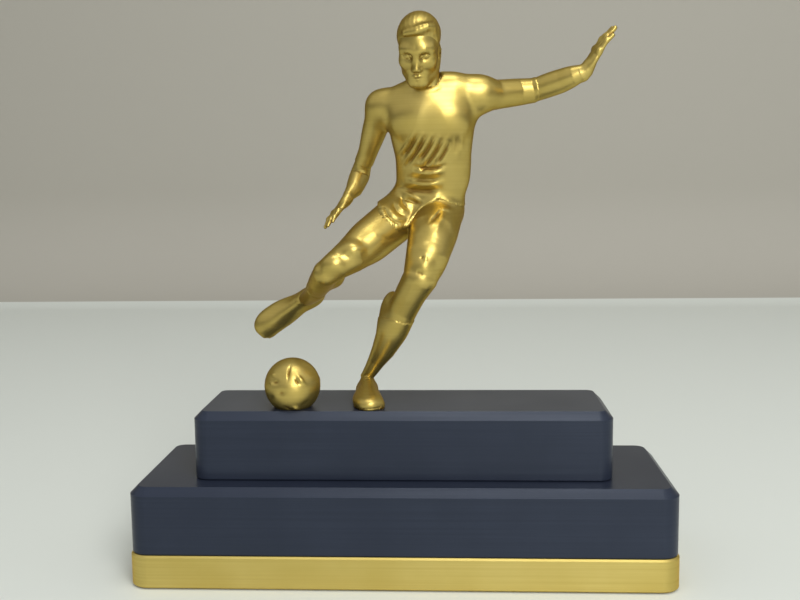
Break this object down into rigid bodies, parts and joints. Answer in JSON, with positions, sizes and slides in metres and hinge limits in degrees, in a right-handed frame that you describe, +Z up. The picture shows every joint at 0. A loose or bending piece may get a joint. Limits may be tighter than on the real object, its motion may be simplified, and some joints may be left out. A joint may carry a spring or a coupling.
{
  "type": "football figure trophy",
  "caption": "Trophy: a gold figure of a football player about to strike a gold ball, on a black two-tier plinth in a gold base band.",
  "frame": {"origin": "centre of the trophy's footprint, on the surface it stands on (the undersides of the rubber pads)", "axes": "+Z up, +X along the plinth's width towards the figure's raised left arm, -Y out of the front, the side that the figure faces"},
  "size_m": [0.18, 0.058, 0.1853],
  "materials": {
    "gold_figure": "silk gold printed plastic with a metallic sheen and fine layer lines",
    "gold_band": "satin gold printed plastic with fine layer lines",
    "black_plinth": "satin black printed plastic with fine layer lines",
    "screw_steel": "zinc-plated steel",
    "insert_brass": "turned brass",
    "pad_rubber": "matt rubber"
  },
  "bodies": {
    "root": {"base_band": "gold_band", "lower_tier": "black_plinth", "upper_tier": "black_plinth", "figure": "gold_figure", "ball": "gold_figure", "figure_insert": "insert_brass", "figure_screw": "screw_steel", "figure_washer": "screw_steel", "figure_dowel": "screw_steel", "ball_insert": "insert_brass", "ball_screw": "screw_steel", "ball_washer": "screw_steel", "tier_inserts": "insert_brass", "tier_screws": "screw_steel", "tier_washers": "screw_steel", "band_inserts": "insert_brass", "band_screws": "screw_steel", "rubber_pads": "pad_rubber"}
  },
  "joints": []
}
